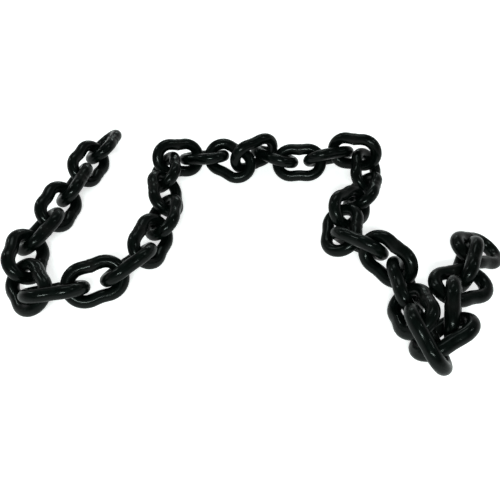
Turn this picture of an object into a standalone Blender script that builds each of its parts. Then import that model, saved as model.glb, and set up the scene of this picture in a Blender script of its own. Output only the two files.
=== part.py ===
"""A free length of short-link lifting chain, lying slack on the floor in a loose wave.

Every link is the same welded ring of round bar: two half-round crowns and two short
straight sides, one of which carries the butt weld. The links hook through each other and
lie alternately leaning to one side and to the other. Units are metres and +Z is up.
The chain is laid outwards from link 18, near its middle, and link 1 and link 36 are the
free ends. Each link turns on a hinge at the crown where it's hooked on.
"""

import math

import bmesh
import bpy
import numpy as np
from mathutils import Matrix, Vector

# The driving dimensions, as in standard short-link chain: pitch 3 bars, width 3.5 bars.
BAR = 0.010
PITCH = 3 * BAR
OUTER_WIDTH = 3.5 * BAR

CROWN_RADIUS = (OUTER_WIDTH - BAR) / 2
HALF_STRAIGHT = (PITCH + BAR) / 2 - CROWN_RADIUS
CROWN_REACH = HALF_STRAIGHT + CROWN_RADIUS
WAIST = 0.0005
WELD_SWELL = 0.0003
WELD_HALF = 0.003

# The facets of the ring. An odd count round a crown leaves one facet square across its middle.
BAR_SIDES = 8
CROWN_STEPS = 9

# The finest spacing at which two links are compared, and the gap that is kept between them.
TRACE_STEP = 0.0015
CLEARANCE = 0.0004
FLOOR_GAP = 0.0001

# Two crowns pulled tight overlap by a little less than a bar. From there a link slides further
# into its neighbour until it's clear, straight first, then a little to one side or the other.
TIGHT = 0.0095
SLIDE_MOST = 0.0095
SLIDE_STEP = 0.00025
SIDE_STEP = 0.001
SIDE_TRIES = 4

START_LINK = 18
START_XY = (-0.003, 0.076)

# Most links swing on the crown that holds them. These swing on their own crown instead, or roll
# about their own length.
OWN_CROWN_HINGES = (4, 7, 11, 13, 15, 16, 20, 22, 23, 24, 25, 27, 30, 35)
ROLLING_LINKS = (28, 32, 33)

# How each link lies: the heading of its length, the rise of its front end and the lean of its
# face to the side, in degrees. Then, in millimetres, how high it is held off the floor by other
# links, how slack its hook is, and how far it has slipped to the side in it.
LIES = (
    (265, 10, 35, 0, 0, 3),
    (255, 0, -55, 0, 1, 0),
    (260, 0, 45, 1, 0, 3),
    (260, 0, -50, 0, 0, -2),
    (240, -10, 35, 0, 1, -3),
    (275, 0, -50, 0, 1, 1),
    (305, 0, 30, 0, 0, -2),
    (10, 0, -45, 1, 0, -2),
    (25, 0, 40, 0, 3, 1),
    (40, 10, -45, 0, 0, -2),
    (75, 0, 50, 0, 0, 3),
    (90, -5, -35, 1, 0, 1),
    (100, 5, 45, 0, 0, 1),
    (100, -10, -40, 1, 1, 0),
    (25, -15, 55, 0, 2, -1),
    (335, 20, -25, 0, 3, -3),
    (335, -15, 35, 0, 1, -3),
    (30, 5, -90, 0, 5, -1),
    (315, 10, -30, 0, 3, 2),
    (355, 5, 40, 0, 3, -2),
    (25, -10, -50, 1, 1, 0),
    (335, 10, 80, 6, 1, 0),
    (260, -10, -40, 0, 0, 1),
    (250, 5, 45, 0, 2, 0),
    (225, 15, -45, 2, 1, -3),
    (260, -10, 30, 1, 5, 1),
    (315, 15, -55, 1, 4, 3),
    (310, -5, 65, 4, 0, -3),
    (275, -5, -50, 0, 5, 3),
    (270, 20, 45, 3, 5, -2),
    (295, -20, -50, 8, 2, 0),
    (25, 20, -45, 2, 0, 10),
    (80, 25, 70, 0, 1, 4),
    (20, -10, 0, 13, 0, 6),
    (65, 5, -80, 0, 1, 9),
    (20, -25, 5, 0, 2, -1),
)

STEEL_COLOUR = (0.030, 0.031, 0.033, 1.0)
STEEL_ROUGHNESS = 0.45
STEEL_METALLIC = 0.6


def clear_scene():
    for obj in list(bpy.data.objects):
        bpy.data.objects.remove(obj, do_unlink=True)


def side_distance(x):
    """How far the bar's centre is from the link's middle line, x along a straight side."""
    return CROWN_RADIUS - WAIST * (1 + math.cos(math.pi * x / HALF_STRAIGHT)) / 2


def outline():
    """The ring's centre line as (x, y, outward angle, bar radius), once round."""
    stations = []
    for end in (0, 1):
        turn = math.pi * end
        for step in range(CROWN_STEPS + 1):
            angle = turn - math.pi / 2 + math.pi * step / CROWN_STEPS
            x = HALF_STRAIGHT * math.cos(turn) + CROWN_RADIUS * math.cos(angle)
            y = CROWN_RADIUS * math.sin(angle)
            stations.append((x, y, angle, BAR / 2))
        if end == 0:
            for x, swell in ((WELD_HALF, 0), (0, WELD_SWELL), (-WELD_HALF, 0)):
                stations.append((x, side_distance(x), math.pi / 2, BAR / 2 + swell))
        else:
            stations.append((0, -side_distance(0), -math.pi / 2, BAR / 2))
    return stations


def ring_mesh():
    """One link as a closed ring of faceted bar, flat facets towards and away from its window."""
    mesh = bpy.data.meshes.new("link_ring")
    build = bmesh.new()
    rings = []
    for x, y, angle, radius in outline():
        ring = []
        for side in range(BAR_SIDES):
            around = 2 * math.pi * (side + 0.5) / BAR_SIDES
            out = radius * math.cos(around)
            up = radius * math.sin(around)
            ring.append(build.verts.new((x + out * math.cos(angle), y + out * math.sin(angle), up)))
        rings.append(ring)
    for ring, following in zip(rings, rings[1:] + rings[:1]):
        for side in range(BAR_SIDES):
            after = (side + 1) % BAR_SIDES
            build.faces.new((ring[side], following[side], following[after], ring[after]))
    bmesh.ops.recalc_face_normals(build, faces=build.faces)
    for face in build.faces:
        face.smooth = True
    build.to_mesh(mesh)
    build.free()
    return mesh


def trace():
    """Points along the smooth centre line of a link, in its own plane."""
    around = round(math.pi * CROWN_RADIUS / TRACE_STEP)
    along = round(2 * HALF_STRAIGHT / TRACE_STEP)
    points = []
    for end in (1, -1):
        for step in range(around + 1):
            angle = math.pi * step / around - math.pi / 2
            x = HALF_STRAIGHT + CROWN_RADIUS * math.cos(angle)
            points.append((end * x, end * CROWN_RADIUS * math.sin(angle)))
        for step in range(1, along):
            x = HALF_STRAIGHT - 2 * HALF_STRAIGHT * step / along
            points.append((end * x, end * side_distance(x)))
    return np.array(points)


TRACE = trace()


def attitude(heading, dip, lean):
    """The unit vectors along a link's length and across its width."""
    heading, dip, lean = (math.radians(angle) for angle in (heading, dip, lean))
    length = np.array((
        math.cos(dip) * math.cos(heading),
        math.cos(dip) * math.sin(heading),
        math.sin(dip),
    ))
    level = np.array((-math.sin(heading), math.cos(heading), 0))
    width = math.cos(lean) * level + math.sin(lean) * np.cross(length, level)
    return length, width


def spread(points, lie):
    return points[:, :1] * lie[0] + points[:, 1:] * lie[1]


def resting_height(lie):
    return BAR / 2 + FLOOR_GAP - spread(TRACE, lie)[:, 2].min()


def hook_on(centre, lie, next_lie, looseness, forward):
    """Where the neighbour goes: the nearest place where the rings are clear, or the roomiest.

    looseness is the neighbour's lift, slack and slip. forward is 1 for the neighbour at this
    link's front and -1 for the one behind it.
    """
    lift, slack, slip = looseness
    half = TRACE[forward * TRACE[:, 0] >= 0]
    next_half = TRACE[forward * TRACE[:, 0] <= 0]
    along = lie[0] + next_lie[0]
    along[2] = 0
    along /= np.linalg.norm(along)
    across = np.array((-along[1], along[0], 0))
    start = centre + forward * CROWN_REACH * (lie[0] + next_lie[0])
    start[2] = resting_height(next_lie) + lift
    gaps = (centre + spread(half, lie))[:, None] - (start + spread(next_half, next_lie))[None]
    sides = [0]
    for number in range(1, SIDE_TRIES + 1):
        sides += [number * SIDE_STEP, -number * SIDE_STEP]
    roomiest = 0
    place = None
    for side in sides:
        for slide in np.arange(0, SLIDE_MOST, SLIDE_STEP):
            move = (slip + side) * across - forward * (TIGHT + slack + slide) * along
            room = np.linalg.norm(gaps - move, axis=2).min()
            if room > roomiest:
                roomiest = room
                place = start + move
            if room >= BAR + CLEARANCE:
                return place
    return place


def lay_chain():
    """Each link's centre and attitude, laid outwards both ways from the starting link."""
    lies = [attitude(*lie[:3]) for lie in LIES]
    loose = [[distance / 1000 for distance in lie[3:]] for lie in LIES]
    centres = [None] * len(LIES)
    first = START_LINK - 1
    centres[first] = np.array((*START_XY, resting_height(lies[first]) + loose[first][0]))
    for number in range(first + 1, len(LIES)):
        before = number - 1
        centres[number] = hook_on(centres[before], lies[before], lies[number], loose[number], 1)
    for number in range(first - 1, -1, -1):
        after = number + 1
        centres[number] = hook_on(centres[after], lies[after], lies[number], loose[number], -1)
    return centres, lies


def placement(centre, lie):
    """The world matrix of a link whose length is local X and whose width is local Y."""
    length, width = (Vector(axis) for axis in lie)
    turn = Matrix((length, width, length.cross(width))).transposed()
    return Matrix.Translation(Vector(centre)) @ turn.to_4x4()


def crown_middle(place, forward):
    return place @ Matrix.Translation((forward * CROWN_REACH, 0, 0))


def hinge_place(label, place, nearer_place, forward):
    """Where a link's hinge is, with its axis along local Y."""
    if label in ROLLING_LINKS:
        return crown_middle(place, -forward) @ Matrix.Rotation(math.pi / 2, 4, "Z")
    if label in OWN_CROWN_HINGES:
        return crown_middle(place, -forward)
    return crown_middle(nearer_place, forward)


def floor_centre(mesh, places):
    """The middle of the chain's outer box, at the height of its lowest point."""
    corners = np.array([place @ vertex.co for place in places for vertex in mesh.vertices])
    low, high = corners.min(axis=0), corners.max(axis=0)
    return Vector(((low[0] + high[0]) / 2, (low[1] + high[1]) / 2, low[2]))


def steel():
    material = bpy.data.materials.new("link_steel")
    material.use_nodes = True
    shader = material.node_tree.nodes["Principled BSDF"]
    shader.inputs["Base Color"].default_value = STEEL_COLOUR
    shader.inputs["Roughness"].default_value = STEEL_ROUGHNESS
    shader.inputs["Metallic"].default_value = STEEL_METALLIC
    return material


def add_link(name, mesh, place, parent, hinge):
    """One link. Its hinge is an empty at the middle of a crown, with local Y along the hinge."""
    link = bpy.data.objects.new(name, mesh)
    bpy.context.scene.collection.objects.link(link)
    if parent is None:
        link.matrix_world = place
        return link
    pivot = bpy.data.objects.new("hinge_of_" + name, None)
    pivot.empty_display_size = BAR
    bpy.context.scene.collection.objects.link(pivot)
    pivot.parent = parent[0]
    pivot.matrix_basis = parent[1].inverted() @ hinge
    link.parent = pivot
    link.matrix_basis = hinge.inverted() @ place
    return link


def main():
    clear_scene()
    mesh = ring_mesh()
    mesh.materials.append(steel())
    centres, lies = lay_chain()
    places = [placement(centre, lie) for centre, lie in zip(centres, lies)]
    shift = Matrix.Translation(-floor_centre(mesh, places))
    places = [shift @ place for place in places]
    first = START_LINK - 1
    order = [first, *range(first + 1, len(places)), *range(first - 1, -1, -1)]
    made = {}
    for number in order:
        forward = 1 if number > first else -1
        nearer = number - forward
        parent = hinge = None
        if number != first:
            parent = (made[nearer], places[nearer])
            hinge = hinge_place(number + 1, places[number], places[nearer], forward)
        made[number] = add_link(f"link_{number + 1:02d}", mesh, places[number], parent, hinge)


main()
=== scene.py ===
"""The looks of the short-link chain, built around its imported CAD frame.

Each CAD link is replaced by a finely made one: a round bar bent into a ring, a little flattened
in the bends and waisted at the sides, with the upset and flash of its butt weld, in near-black
steel under a thin film of oil. Each piece takes its place from the CAD solid it replaces.
Lengths are in metres.
"""

import math
from types import SimpleNamespace

import bpy
import numpy as np
from mathutils import Matrix, Vector, noise


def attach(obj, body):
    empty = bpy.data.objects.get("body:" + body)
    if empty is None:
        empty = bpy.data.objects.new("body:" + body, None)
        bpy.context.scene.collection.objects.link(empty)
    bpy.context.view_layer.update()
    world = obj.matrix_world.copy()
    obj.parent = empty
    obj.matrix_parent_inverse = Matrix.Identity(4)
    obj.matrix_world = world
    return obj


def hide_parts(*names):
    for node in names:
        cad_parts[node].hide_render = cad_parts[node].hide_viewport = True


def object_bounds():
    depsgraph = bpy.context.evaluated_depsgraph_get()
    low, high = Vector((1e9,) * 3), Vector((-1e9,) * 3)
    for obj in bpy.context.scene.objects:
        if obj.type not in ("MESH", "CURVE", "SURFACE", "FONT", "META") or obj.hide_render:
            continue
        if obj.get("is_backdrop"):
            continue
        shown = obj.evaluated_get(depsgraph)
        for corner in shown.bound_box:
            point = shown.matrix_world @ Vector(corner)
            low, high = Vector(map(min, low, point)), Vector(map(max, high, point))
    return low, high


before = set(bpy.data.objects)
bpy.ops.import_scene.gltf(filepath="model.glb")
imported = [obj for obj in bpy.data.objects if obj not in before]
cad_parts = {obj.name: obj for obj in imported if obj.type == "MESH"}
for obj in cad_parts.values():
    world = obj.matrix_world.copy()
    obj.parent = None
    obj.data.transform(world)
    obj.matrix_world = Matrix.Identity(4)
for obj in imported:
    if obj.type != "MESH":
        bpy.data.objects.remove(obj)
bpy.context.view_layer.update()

# The chain's sizes, as in part.py. The waist is how far each side is drawn in at its middle.
BAR = 0.010
BAR_RADIUS = BAR / 2
CROWN_RADIUS = 0.0125
HALF_STRAIGHT = 0.0075
WAIST = 0.0005

# How fine the ring is: steps along each crown and each side, and round the bar.
CROWN_STEPS = 44
SIDE_STEPS = 18
AROUND_STEPS = 36

# The bends draw the bar out a little, and the weld thickens it: a low upset, and on it the
# narrow ridge of the trimmed flash. The ridge differs from link to link and round the bar.
BEND_THINNING = 0.02
UPSET_HEIGHT = 0.00020
UPSET_LENGTH = 0.0020
FLASH_HEIGHT = 0.00016
FLASH_LENGTH = 0.0006
FLASH_UNEVENNESS = 0.25
FLASH_PEAKS = 3
FLASH_LINK_STEP = 2.4

# The forged surface, as (height, size) of its lumps, and how far apart two links lie in the noise.
LUMPS = ((0.00006, 0.0045), (0.00002, 0.0016))
LUMP_LINK_STEP = (7.3, 3.1, 5.7)

# Links rub each other inside the crowns, where the bend is more than this share of the full one.
BEARING_BEND = 0.35

# The steel's colours, almost black. All but the weld's are a little green.
OXIDE_DARK = (0.00005, 0.0007, 0.0004, 1)
OXIDE_LIGHT = (0.0010, 0.0026, 0.0020, 1)
OILY = (0.0022, 0.0038, 0.0031, 1)
DRAWN = (0.0050, 0.0076, 0.0066, 1)
RUBBED = (0.0090, 0.0110, 0.0104, 1)
WELD_SCALE = (0.0065, 0.0062, 0.0058, 1)

# How much of each colour shows at most over the ones before it.
OILY_SHARE = 0.45
DRAWN_SHARE = 0.35
RUBBED_SHARE = 0.5
WELD_SHARE = 0.5

# The steel's patterns, as (noise cells a metre, octaves, crispness). Streaks are drawn out by
# shrinking the first of (along the bar, out from it, up from it).
FILM = (90.0, 3.0, 0.6)
MOTTLE = (210.0, 6.0, 0.6)
PITS = (900.0, 2.0, 0.6)
STREAKS = (1500.0, 3.0, 0.6)
STREAK_STRETCH = (0.12, 1.0, 1.0)
GRAIN = (1900.0, 5.0, 0.7)

# The noise levels between which each look goes from nothing to all of it.
OXIDE_LEVELS = (0.38, 0.66)
OILY_LEVELS = (0.48, 0.72)
DRAWN_LEVELS = (0.55, 0.75)
RUBBED_LEVELS = (0.42, 0.60)
PIT_LEVELS = (0.60, 0.70)
MOTTLE_ROUGHNESS_LEVELS = (0.35, 0.68)
STREAK_ROUGHNESS_LEVELS = (0.4, 0.7)
OIL_ROUGHNESS_LEVELS = (0.35, 0.65)

# The bare steel's shine: its roughness, the changes to it, and the strength of its reflection.
MOTTLE_ROUGHNESS = (0.32, 0.42)
STREAK_ROUGHNESS = (-0.03, 0.05)
WELD_ROUGHNESS = 0.12
RUBBED_POLISH = 0.10
STEEL_REFLECTION = 0.025
STEEL_TINT = (0.88, 1.0, 0.95, 1)

# The oil film over it, which gives the thin bright lines along the bars.
OIL_WEIGHT = 0.17
OIL_IOR = 1.45
OIL_ROUGHNESS = (0.07, 0.17)

# Depths of the fine relief, and the shares of its parts.
RELIEF_DEPTH = 0.00007
RIPPLE_DEPTH = 0.00010
BUMP_STRENGTH = 0.35
GRAIN_IN_RELIEF = 0.6
STREAKS_IN_RELIEF = 0.5
PITS_IN_RELIEF = 0.9
GRAIN_IN_RIPPLE = 0.9

# The floor is a light table: a little light comes up through it and thins the shadows.
FLOOR_SIZE = 12.0
FLOOR_GLOW = 0.62
FLOOR_TONES = ((0.86, 0.86, 0.86, 1), (0.90, 0.90, 0.90, 1))
FLOOR_FINENESS = 3.0
FLOOR_ROUGHNESS = 0.9
FLOOR_REFLECTION = 0.1
WHITE = (1.0, 1.0, 1.0, 1)

# The softboxes, as (name, place, size, watts), all aimed at the middle of the floor. The front one
# stands behind the camera. Their light is a little green.
LAMPS = (
    ("softbox_front", (-0.05, -0.66, 0.60), (0.34, 0.055), 5.6),
    ("softbox_top", (-0.15, 0.80, 1.25), (0.70, 0.25), 3.0),
    ("strip_back", (0.10, 1.60, 0.62), (0.80, 0.08), 4.0),
    ("strip_left", (-1.1, 0.55, 0.9), (0.10, 0.35), 2.6),
    ("strip_right", (0.9, 0.0, 1.2), (0.08, 0.25), 1.5),
)
LAMP_TARGET = Vector((0, 0, 0))
LAMP_COLOUR = (0.86, 1.0, 0.95)

# The white cove round the set and the dim ceiling between the softboxes: how bright each is, and
# the heights on a unit sphere where the one ends and the other begins.
WALL_LIGHT = 0.95
WALL_TOP = 0.12
CEILING_LIGHT = 0.22
CEILING_START = 0.42

# The camera looks at a point on the floor. Angles are in degrees, and the lens in millimetres.
AIM = Vector((-0.00545, -0.01119, -0.0001))
CAMERA_TURN = -0.16
CAMERA_ELEVATION = 48.6
CAMERA_DISTANCE = 0.3938
CAMERA_CLIP = 0.01
LENS = 34.76
SENSOR = 36.0


def centre_line():
    """The ring's centre line once round, starting under the weld.

    Each station is (point, outward direction, bend, distance from the weld along the bar),
    where bend is 0 on a straight side and 1 in the middle of a crown.
    """
    stations = []

    def side(sign, first, last):
        for step in range(first, last):
            x = sign * HALF_STRAIGHT * (1 - 2 * step / SIDE_STEPS)
            dip = WAIST * (1 + math.cos(math.pi * x / HALF_STRAIGHT)) / 2
            stations.append((Vector((x, sign * (CROWN_RADIUS - dip), 0)), Vector((0, sign, 0)), 0.0))

    def crown(sign):
        middle = Vector((-sign * HALF_STRAIGHT, 0, 0))
        for step in range(CROWN_STEPS):
            angle = math.pi * step / CROWN_STEPS + math.pi / 2
            out = sign * Vector((math.cos(angle), math.sin(angle), 0))
            bend = math.sin(math.pi * step / CROWN_STEPS)
            stations.append((middle + CROWN_RADIUS * out, out, bend))

    side(1, SIDE_STEPS // 2, SIDE_STEPS)
    crown(1)
    side(-1, 0, SIDE_STEPS)
    crown(-1)
    side(1, 0, SIDE_STEPS // 2)
    distance = 0.0
    measured = []
    for number, (point, out, bend) in enumerate(stations):
        if number:
            distance += (point - stations[number - 1][0]).length
        measured.append((point, out, bend, distance))
    return measured


CENTRE_LINE = centre_line()
RING_LENGTH = CENTRE_LINE[-1][3] + (CENTRE_LINE[0][0] - CENTRE_LINE[-1][0]).length


def lumpiness(point, seed):
    """How far the forged surface stands out at a point of the link with this seed."""
    shift = Vector([seed * step for step in LUMP_LINK_STEP])
    return sum(height * noise.noise(point / size + shift) for height, size in LUMPS)


def link_mesh(name, seed):
    """A link as a ring of round bar, its length along X and its weld on the +Y side.

    Its attributes are for the steel: run is the place along and round the bar, bearing is 1 where
    the next link rubs, weld is 1 at the weld, and batch tells one link's patterns from another's.
    """
    points, run, bearing, weld = [], [], [], []
    flash_here = FLASH_HEIGHT * (1 + FLASH_UNEVENNESS * math.sin(seed * FLASH_LINK_STEP))
    for point, out, bend, distance in CENTRE_LINE:
        from_weld = min(distance, RING_LENGTH - distance)
        swell = UPSET_HEIGHT * math.exp(-(from_weld / UPSET_LENGTH) ** 2)
        flash = flash_here * math.exp(-(from_weld / FLASH_LENGTH) ** 2)
        rubbing = max(0.0, bend - BEARING_BEND) / (1 - BEARING_BEND)
        near_weld = math.exp(-(from_weld / (2 * UPSET_LENGTH)) ** 2)
        for step in range(AROUND_STEPS):
            around = 2 * math.pi * step / AROUND_STEPS
            outward, upward = math.cos(around), math.sin(around)
            normal = outward * out + upward * Vector((0, 0, 1))
            ridge = 1 - FLASH_UNEVENNESS + FLASH_UNEVENNESS * math.sin(FLASH_PEAKS * around + seed)
            radius = BAR_RADIUS * (1 - BEND_THINNING * bend * outward ** 2) + swell + flash * ridge
            place = point + radius * normal
            points.append(place + lumpiness(place, seed) * normal)
            run.extend((distance, outward * BAR_RADIUS, upward * BAR_RADIUS))
            bearing.append(rubbing * max(0.0, -outward) ** 2)
            weld.append(near_weld)
    rings = len(CENTRE_LINE)
    faces = []
    for ring in range(rings):
        after = (ring + 1) % rings
        for step in range(AROUND_STEPS):
            beside = (step + 1) % AROUND_STEPS
            faces.append((
                ring * AROUND_STEPS + step,
                after * AROUND_STEPS + step,
                after * AROUND_STEPS + beside,
                ring * AROUND_STEPS + beside,
            ))
    mesh = bpy.data.meshes.new(name)
    mesh.from_pydata(points, [], faces)
    mesh.attributes.new("run", "FLOAT_VECTOR", "POINT").data.foreach_set("vector", run)
    mesh.attributes.new("bearing", "FLOAT", "POINT").data.foreach_set("value", bearing)
    mesh.attributes.new("weld", "FLOAT", "POINT").data.foreach_set("value", weld)
    mesh.attributes.new("batch", "FLOAT", "POINT").data.foreach_set("value", [seed] * len(points))
    mesh.shade_smooth()
    return mesh


def measured_place(node):
    """Where a CAD link lies: the matrix that takes X to its length and +Y to its welded side."""
    corners = np.array([vertex.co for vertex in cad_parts[node].data.vertices])
    middle = corners.mean(axis=0)
    # The rows are the link's own directions, from the one it is longest in to the one it is thinnest in.
    axes = np.linalg.svd(corners - middle, full_matrices=False)[2]
    reach = (corners - middle) @ axes.T
    middle = middle + ((reach.max(axis=0) + reach.min(axis=0)) / 2) @ axes
    along, across = axes[0], axes[1]
    # The welded side has more rings of vertices than the plain one.
    if np.sum((corners - middle) @ across) < 0:
        across = -across
    x, y = Vector(along), Vector(across)
    turn = Matrix((x, y, x.cross(y))).transposed()
    return Matrix.Translation(Vector(middle)) @ turn.to_4x4()


class Nodes:
    """Short calls for building a material's node tree."""

    def __init__(self, name):
        self.material = bpy.data.materials.new(name)
        self.material.use_nodes = True
        self.tree = self.material.node_tree
        self.shader = self.tree.nodes["Principled BSDF"]

    def add(self, kind, settings=None, **inputs):
        """A new node. An input's underscores stand for the spaces in its socket's name."""
        node = self.tree.nodes.new(kind)
        for key, value in (settings or {}).items():
            setattr(node, key, value)
        for key, value in inputs.items():
            self.feed(node.inputs[key.replace("_", " ")], value)
        return node

    def feed(self, socket, value):
        if isinstance(value, bpy.types.NodeSocket):
            self.tree.links.new(value, socket)
        else:
            socket.default_value = value

    def attribute(self, name, output):
        return self.add("ShaderNodeAttribute", {"attribute_name": name}).outputs[output]

    def math(self, operation, first, second, clamp=False):
        node = self.add("ShaderNodeMath", {"operation": operation, "use_clamp": clamp})
        self.feed(node.inputs[0], first)
        self.feed(node.inputs[1], second)
        return node.outputs[0]

    def noise(self, vector, batch, cells, octaves, crispness):
        node = self.add("ShaderNodeTexNoise", {"noise_dimensions": "4D"}, Vector=vector,
                        Scale=cells, Detail=octaves, Roughness=crispness, W=batch)
        return node.outputs["Fac"]

    def spread(self, value, levels, span=(0.0, 1.0)):
        """The value, with the range between the two levels stretched to the span and held there."""
        node = self.add("ShaderNodeMapRange", {"clamp": True})
        for socket, number in zip(node.inputs[:5], (value, *levels, *span)):
            self.feed(socket, number)
        return node.outputs[0]

    def mix(self, share, first, second):
        node = self.add("ShaderNodeMix", {"data_type": "RGBA"})
        self.feed(node.inputs["Factor"], share)
        self.feed(node.inputs[6], first)
        self.feed(node.inputs[7], second)
        return node.outputs[2]

    def bump(self, height, depth):
        node = self.add("ShaderNodeBump", Strength=BUMP_STRENGTH, Distance=depth, Height=height)
        return node.outputs["Normal"]


def steel_patterns(n):
    """The patterns that the steel's colour, shine and relief share."""
    place = n.add("ShaderNodeTexCoord").outputs["Object"]
    batch = n.attribute("batch", "Fac")
    along_bar = n.add("ShaderNodeVectorMath", {"operation": "MULTIPLY"})
    n.feed(along_bar.inputs[0], n.attribute("run", "Vector"))
    n.feed(along_bar.inputs[1], STREAK_STRETCH)
    mottle = n.noise(place, batch, *MOTTLE)
    return SimpleNamespace(
        mottle=mottle,
        rubbed=n.math("MULTIPLY", n.attribute("bearing", "Fac"), n.spread(mottle, RUBBED_LEVELS)),
        weld=n.attribute("weld", "Fac"),
        streaks=n.noise(along_bar.outputs[0], batch, *STREAKS),
        film=n.noise(place, batch, *FILM),
        grain=n.noise(place, batch, *GRAIN),
        pits=n.spread(n.noise(place, batch, *PITS), PIT_LEVELS),
    )


def steel_colour(n, patterns):
    """Mottled oxide, oily patches, drawn streaks, rubbed bearing faces and the weld's scale."""
    oxide = n.mix(n.spread(patterns.mottle, OXIDE_LEVELS), OXIDE_DARK, OXIDE_LIGHT)
    oily = n.mix(n.spread(patterns.film, OILY_LEVELS, (0.0, OILY_SHARE)), oxide, OILY)
    drawn = n.mix(n.spread(patterns.streaks, DRAWN_LEVELS, (0.0, DRAWN_SHARE)), oily, DRAWN)
    rubbed = n.mix(n.math("MULTIPLY", patterns.rubbed, RUBBED_SHARE), drawn, RUBBED)
    return n.mix(n.math("MULTIPLY", patterns.weld, WELD_SHARE), rubbed, WELD_SCALE)


def steel_roughness(n, patterns):
    """Uneven with the mottling and the streaks, duller at the weld, smoother where links rub."""
    rough = n.spread(patterns.mottle, MOTTLE_ROUGHNESS_LEVELS, MOTTLE_ROUGHNESS)
    streaky = n.spread(patterns.streaks, STREAK_ROUGHNESS_LEVELS, STREAK_ROUGHNESS)
    rough = n.math("ADD", rough, streaky)
    rough = n.math("ADD", rough, n.math("MULTIPLY", patterns.weld, WELD_ROUGHNESS))
    return n.math("SUBTRACT", rough, n.math("MULTIPLY", patterns.rubbed, RUBBED_POLISH), clamp=True)


def steel_relief(n, patterns):
    """Fine grain and streaks with pits sunk in them."""
    grain = n.math("MULTIPLY", patterns.grain, GRAIN_IN_RELIEF)
    streaks = n.math("MULTIPLY", patterns.streaks, STREAKS_IN_RELIEF)
    pits = n.math("MULTIPLY", patterns.pits, PITS_IN_RELIEF)
    return n.math("SUBTRACT", n.math("ADD", grain, streaks), pits)


def black_steel():
    """Near-black steel under a thin, slightly rippled film of oil."""
    n = Nodes("link_steel")
    patterns = steel_patterns(n)
    inputs = n.shader.inputs
    n.feed(inputs["Base Color"], steel_colour(n, patterns))
    n.feed(inputs["Roughness"], steel_roughness(n, patterns))
    inputs["Specular IOR Level"].default_value = STEEL_REFLECTION
    inputs["Specular Tint"].default_value = STEEL_TINT
    n.feed(inputs["Normal"], n.bump(steel_relief(n, patterns), RELIEF_DEPTH))

    inputs["Coat Weight"].default_value = OIL_WEIGHT
    inputs["Coat IOR"].default_value = OIL_IOR
    n.feed(inputs["Coat Roughness"], n.spread(patterns.film, OIL_ROUGHNESS_LEVELS, OIL_ROUGHNESS))
    ripple = n.math("ADD", patterns.mottle, n.math("MULTIPLY", patterns.grain, GRAIN_IN_RIPPLE))
    n.feed(inputs["Coat Normal"], n.bump(ripple, RIPPLE_DEPTH))
    return n.material


def pale_floor():
    """Matt white, faintly uneven, and lit from below."""
    n = Nodes("floor_pale")
    place = n.add("ShaderNodeTexCoord").outputs["Object"]
    tone = n.add("ShaderNodeTexNoise", Vector=place, Scale=FLOOR_FINENESS).outputs["Fac"]
    inputs = n.shader.inputs
    n.feed(inputs["Base Color"], n.mix(tone, *FLOOR_TONES))
    inputs["Roughness"].default_value = FLOOR_ROUGHNESS
    inputs["Specular IOR Level"].default_value = FLOOR_REFLECTION
    inputs["Emission Color"].default_value = WHITE
    inputs["Emission Strength"].default_value = FLOOR_GLOW
    return n.material


def add_links():
    steel = black_steel()
    for number, node in enumerate(sorted(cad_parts)):
        mesh = link_mesh(node + "_bar", 1 + number)
        mesh.transform(measured_place(node))
        mesh.materials.append(steel)
        piece = bpy.data.objects.new(node + "_bar", mesh)
        bpy.context.scene.collection.objects.link(piece)
        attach(piece, node)
        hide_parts(node)


def add_floor(height):
    mesh = bpy.data.meshes.new("floor")
    half = FLOOR_SIZE / 2
    corners = [(-half, -half, 0), (half, -half, 0), (half, half, 0), (-half, half, 0)]
    mesh.from_pydata(corners, [], [(0, 1, 2, 3)])
    mesh.materials.append(pale_floor())
    floor = bpy.data.objects.new("floor", mesh)
    floor.location.z = height
    bpy.context.scene.collection.objects.link(floor)
    floor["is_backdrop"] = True


def add_lamps():
    for name, place, size, watts in LAMPS:
        lamp = bpy.data.lights.new(name, "AREA")
        lamp.shape = "RECTANGLE"
        lamp.size, lamp.size_y = size
        lamp.energy = watts
        lamp.color = LAMP_COLOUR
        light = bpy.data.objects.new(name, lamp)
        light.location = place
        light.rotation_euler = (LAMP_TARGET - Vector(place)).to_track_quat("-Z", "Y").to_euler()
        bpy.context.scene.collection.objects.link(light)


def add_surroundings():
    """The world's light: bright low down, like the walls of a cove, and dim overhead."""
    world = bpy.data.worlds.new("studio")
    world.use_nodes = True
    tree = world.node_tree
    direction = tree.nodes.new("ShaderNodeTexCoord").outputs["Generated"]
    split = tree.nodes.new("ShaderNodeSeparateXYZ")
    rise = tree.nodes.new("ShaderNodeMapRange")
    rise.interpolation_type = "SMOOTHSTEP"
    tree.links.new(direction, split.inputs[0])
    tree.links.new(split.outputs["Z"], rise.inputs["Value"])
    for socket, number in zip(rise.inputs[1:5], (WALL_TOP, CEILING_START, WALL_LIGHT, CEILING_LIGHT)):
        socket.default_value = number
    background = tree.nodes["Background"]
    tree.links.new(rise.outputs[0], background.inputs["Strength"])
    background.inputs["Color"].default_value = WHITE
    bpy.context.scene.world = world


def add_camera():
    turn, rise = math.radians(CAMERA_TURN), math.radians(CAMERA_ELEVATION)
    back = Vector((math.sin(turn) * math.cos(rise), -math.cos(turn) * math.cos(rise), math.sin(rise)))
    data = bpy.data.cameras.new("camera")
    data.sensor_width = SENSOR
    data.lens = LENS
    data.clip_start = CAMERA_CLIP
    camera = bpy.data.objects.new("camera", data)
    camera.location = AIM + CAMERA_DISTANCE * back
    camera.rotation_euler = (-back).to_track_quat("-Z", "Y").to_euler()
    bpy.context.scene.collection.objects.link(camera)
    bpy.context.scene.camera = camera


add_links()
add_floor(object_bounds()[0][2])
add_lamps()
add_surroundings()
add_camera()
bpy.context.scene.view_settings.view_transform = "Standard"
